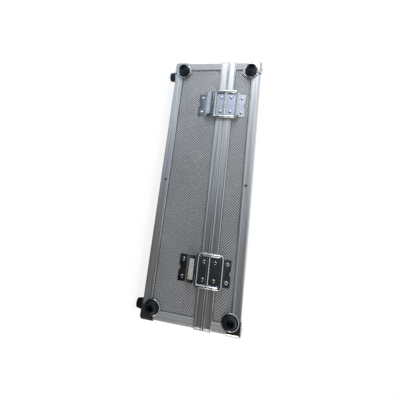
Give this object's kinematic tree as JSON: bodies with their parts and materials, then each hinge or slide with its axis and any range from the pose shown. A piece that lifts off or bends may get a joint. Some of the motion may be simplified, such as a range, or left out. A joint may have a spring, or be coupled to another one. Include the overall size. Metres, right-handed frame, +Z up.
{
  "type": "aluminium camera case",
  "caption": "Hinged aluminium-framed equipment case with chrome corners, rubber feet, stay hinges, latches, carrying handle and padded pockets.",
  "frame": {"origin": "under the middle of the case's outline, on the plane of the bottom feet", "axes": "+X along the case's length, +Y out of the hinge side, +Z up from the bottom feet to the lid"},
  "size_m": [0.446, 0.3666, 0.1666],
  "materials": {
    "panel_sheet": "diamond-pressed sheet on a board core",
    "edge_profile": "satin anodised extrusion",
    "rim_profile": "satin anodised extrusion",
    "corner_steel": "polished chrome plate",
    "foot_rubber": "moulded",
    "screw_steel": "zinc plated",
    "rivet_steel": "polished",
    "hinge_steel": "chrome plated sheet",
    "pin_steel": "ground",
    "stay_steel": "chrome plated rod",
    "latch_steel": "chrome plated sheet",
    "lock_steel": "turned face",
    "handle_steel": "chrome plated",
    "grip_plastic": "moulded, fine grain",
    "divider_cloth": "brushed cloth over foam",
    "foam": "open-cell foam"
  },
  "bodies": {
    "base": {"base_bottom_panel": "panel_sheet", "base_front_panel": "panel_sheet", "base_back_panel": "panel_sheet", "base_left_panel": "panel_sheet", "base_right_panel": "panel_sheet", "base_long_edges": "edge_profile", "base_short_edges": "edge_profile", "base_posts": "edge_profile", "base_rim_long": "rim_profile", "base_rim_short": "rim_profile", "base_corners": "corner_steel", "base_feet": "foot_rubber", "base_foot_screws": "screw_steel", "base_rivets": "rivet_steel", "hinge_base_leaves": "hinge_steel", "hinge_pins": "pin_steel", "hinge_base_rivets": "rivet_steel", "latch_keepers": "latch_steel", "latch_keeper_rivets": "rivet_steel", "handle_brackets": "handle_steel", "handle_bracket_rivets": "rivet_steel", "foam_floor": "foam", "foam_walls": "foam", "long_divider": "divider_cloth", "cross_dividers": "divider_cloth"},
    "lid": {"lid_top_panel": "panel_sheet", "lid_front_panel": "panel_sheet", "lid_back_panel": "panel_sheet", "lid_left_panel": "panel_sheet", "lid_right_panel": "panel_sheet", "lid_long_edges": "edge_profile", "lid_short_edges": "edge_profile", "lid_posts": "edge_profile", "lid_rim_long": "rim_profile", "lid_rim_short": "rim_profile", "lid_corners": "corner_steel", "lid_feet": "foot_rubber", "lid_foot_screws": "screw_steel", "lid_rivets": "rivet_steel", "hinge_lid_leaves": "hinge_steel", "hinge_lid_rivets": "rivet_steel", "latch_mounts": "latch_steel", "latch_mount_rivets": "rivet_steel", "latch_pins": "pin_steel", "lid_foam": "foam"},
    "left_stay": {"left_stay_ring": "stay_steel"},
    "right_stay": {"right_stay_ring": "stay_steel"},
    "left_latch": {"left_latch_lever": "latch_steel"},
    "right_latch": {"right_latch_lever": "latch_steel"},
    "left_lock": {"left_lock_barrel": "lock_steel"},
    "right_lock": {"right_lock_barrel": "lock_steel"},
    "handle": {"handle_bail": "handle_steel", "handle_grip": "grip_plastic"}
  },
  "joints": [
    {"name": "lid_hinge", "type": "hinge", "parent": "base", "child": "lid", "pos_m": [0, 0.17509, 0.1086], "axis": [-1, 0, 0], "range_deg": [0, 90]},
    {"name": "left_stay_pivot", "type": "hinge", "parent": "lid", "child": "left_stay", "pos_m": [-0.137, 0.17509, 0.1286], "axis": [-1, 0, 0], "range_deg": [-52.5, 0]},
    {"name": "right_stay_pivot", "type": "hinge", "parent": "lid", "child": "right_stay", "pos_m": [0.137, 0.17509, 0.1286], "axis": [-1, 0, 0], "range_deg": [-52.5, 0]},
    {"name": "left_latch_pivot", "type": "hinge", "parent": "lid", "child": "left_latch", "pos_m": [-0.137, -0.16531, 0.1266], "axis": [-1, 0, 0], "range_deg": [-20, 75], "stiffness_Nm_per_rad": 0.05},
    {"name": "right_latch_pivot", "type": "hinge", "parent": "lid", "child": "right_latch", "pos_m": [0.137, -0.16531, 0.1266], "axis": [-1, 0, 0], "range_deg": [-20, 75], "stiffness_Nm_per_rad": 0.05},
    {"name": "left_lock_turn", "type": "hinge", "parent": "left_latch", "child": "left_lock", "pos_m": [-0.137, -0.17382, 0.10203], "axis": [0, -0.9397, 0.342], "range_deg": [0, 90]},
    {"name": "right_lock_turn", "type": "hinge", "parent": "right_latch", "child": "right_lock", "pos_m": [0.137, -0.17382, 0.10203], "axis": [0, -0.9397, 0.342], "range_deg": [0, 90]},
    {"name": "handle_pivot", "type": "hinge", "parent": "base", "child": "handle", "pos_m": [0, -0.17081, 0.0786], "axis": [-1, 0, 0], "range_deg": [0, 100]}
  ],
  "couplings": [
    {"joint": "left_stay_pivot", "follows": "lid_hinge", "ratio": -0.58},
    {"joint": "right_stay_pivot", "follows": "lid_hinge", "ratio": -0.58}
  ]
}
